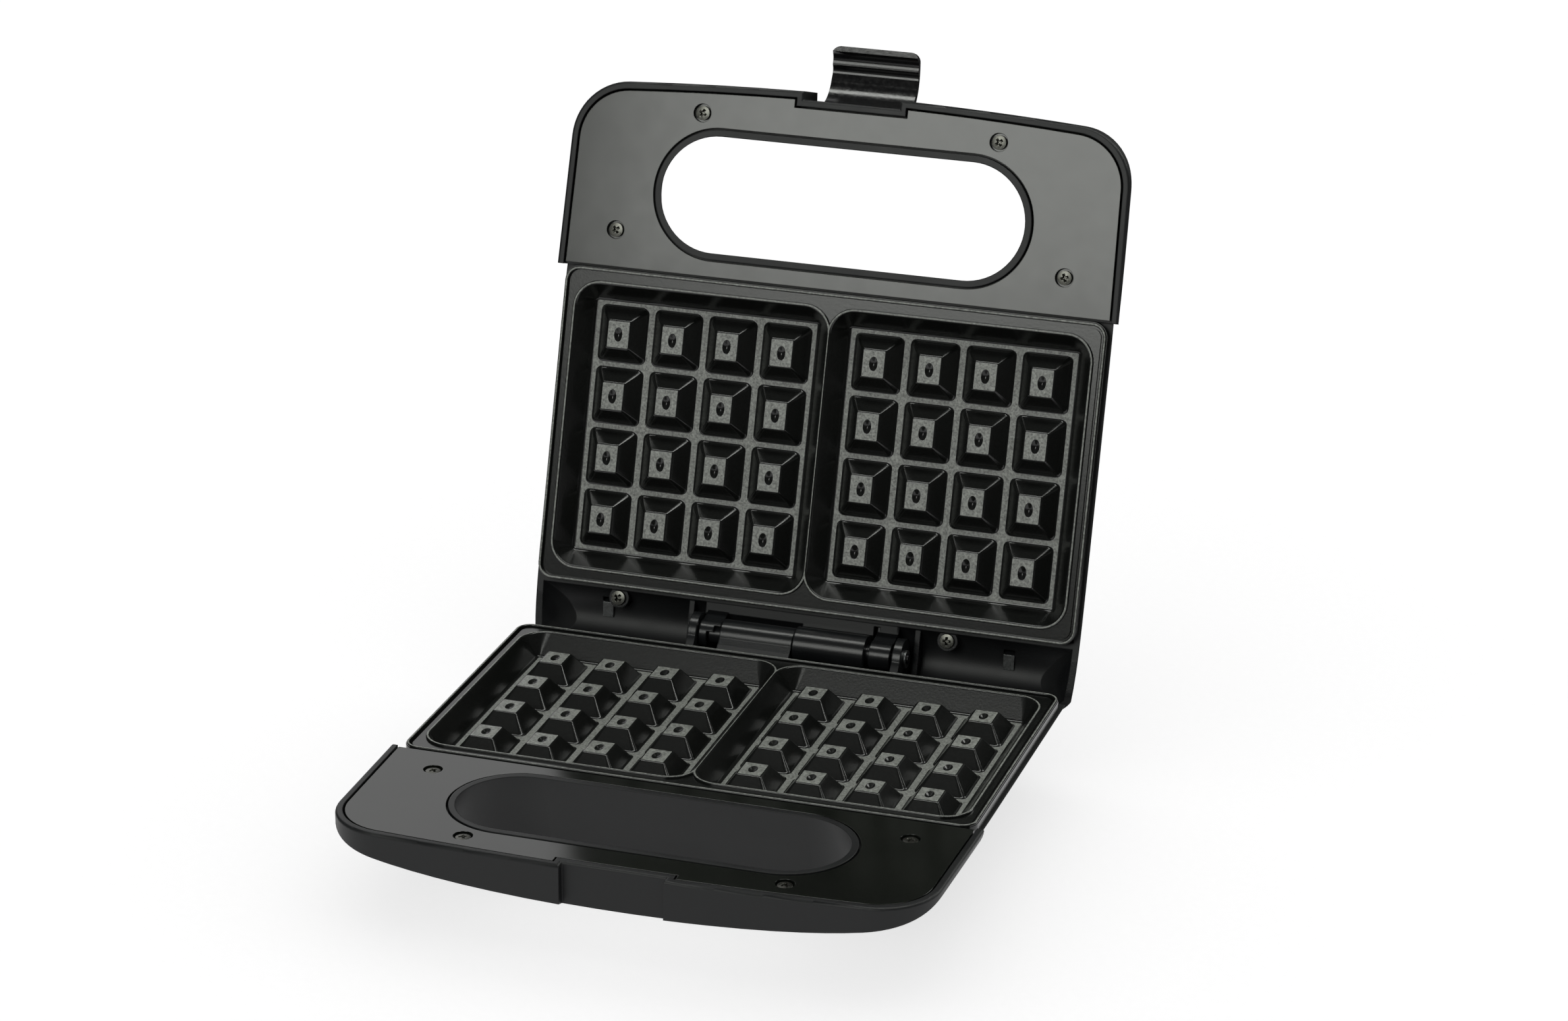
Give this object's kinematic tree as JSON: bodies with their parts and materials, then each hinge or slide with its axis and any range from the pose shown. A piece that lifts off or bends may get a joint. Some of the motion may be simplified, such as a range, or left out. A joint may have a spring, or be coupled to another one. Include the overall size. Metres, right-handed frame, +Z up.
{
  "type": "belgian waffle maker",
  "caption": "Two-slice rectangular waffle maker standing open: hinged moulded halves, pyramid-patterned plates, hand openings in both handles and a snap latch.",
  "frame": {"origin": "centre of the whole box on the surface it stands on", "axes": "+Z up, +X to the right seen from the handle side, +Y from the handles to the hinge"},
  "size_m": [0.2328, 0.3192, 0.2619],
  "materials": {
    "shell_plastic": "fine grained matte charcoal moulding",
    "panel_plastic": "glossy black moulding",
    "latch_plastic": "glossy black moulding",
    "nonstick_plate": "cast aluminium under satin black non-stick coating",
    "frame_steel": "pressed steel, black heat resistant paint",
    "shield_steel": "bright rolled steel sheet",
    "heater_steel": "dull sheathed steel tube",
    "screw_steel": "blackened steel",
    "pin_steel": "ground steel",
    "tab_steel": "plated steel",
    "control_plastic": "heat resistant cream moulding",
    "foot_rubber": "soft black rubber",
    "red_lens": "clear red tinted plastic",
    "green_lens": "clear green tinted plastic"
  },
  "bodies": {
    "base": {"base_shell": "shell_plastic", "cord_gland": "foot_rubber", "hinge_pin": "pin_steel", "hinge_pin_clips": "tab_steel", "lower_handle_panel": "panel_plastic", "lower_heat_shield": "shield_steel", "lower_heater_clamps": "shield_steel", "lower_heating_element": "heater_steel", "lower_panel_screws": "screw_steel", "lower_plate": "nonstick_plate", "lower_plate_frame": "frame_steel", "lower_plate_screws": "pin_steel", "rubber_feet": "foot_rubber", "terminal_block": "control_plastic", "thermal_fuse": "tab_steel", "thermostat": "control_plastic"},
    "lid": {"latch_pin": "pin_steel", "lid_recess_screws": "screw_steel", "lid_recess_tabs": "tab_steel", "lid_shell": "shell_plastic", "light_holder": "control_plastic", "power_light_lens": "red_lens", "ready_light_lens": "green_lens", "upper_handle_panel": "panel_plastic", "upper_heat_shield": "shield_steel", "upper_heater_clamps": "shield_steel", "upper_heating_element": "heater_steel", "upper_panel_screws": "screw_steel", "upper_plate": "nonstick_plate", "upper_plate_frame": "frame_steel", "upper_plate_screws": "pin_steel"},
    "latch": {"latch": "latch_plastic"}
  },
  "joints": [
    {"name": "lid_hinge", "type": "hinge", "parent": "base", "child": "lid", "pos_m": [0, 0.05975, 0.042], "axis": [1, 0, 0], "range_deg": [0, 107.2]},
    {"name": "latch_pivot", "type": "hinge", "parent": "lid", "child": "latch", "pos_m": [0, 0.13916, 0.23934], "axis": [1, 0, 0], "range_deg": [0, 100]}
  ]
}
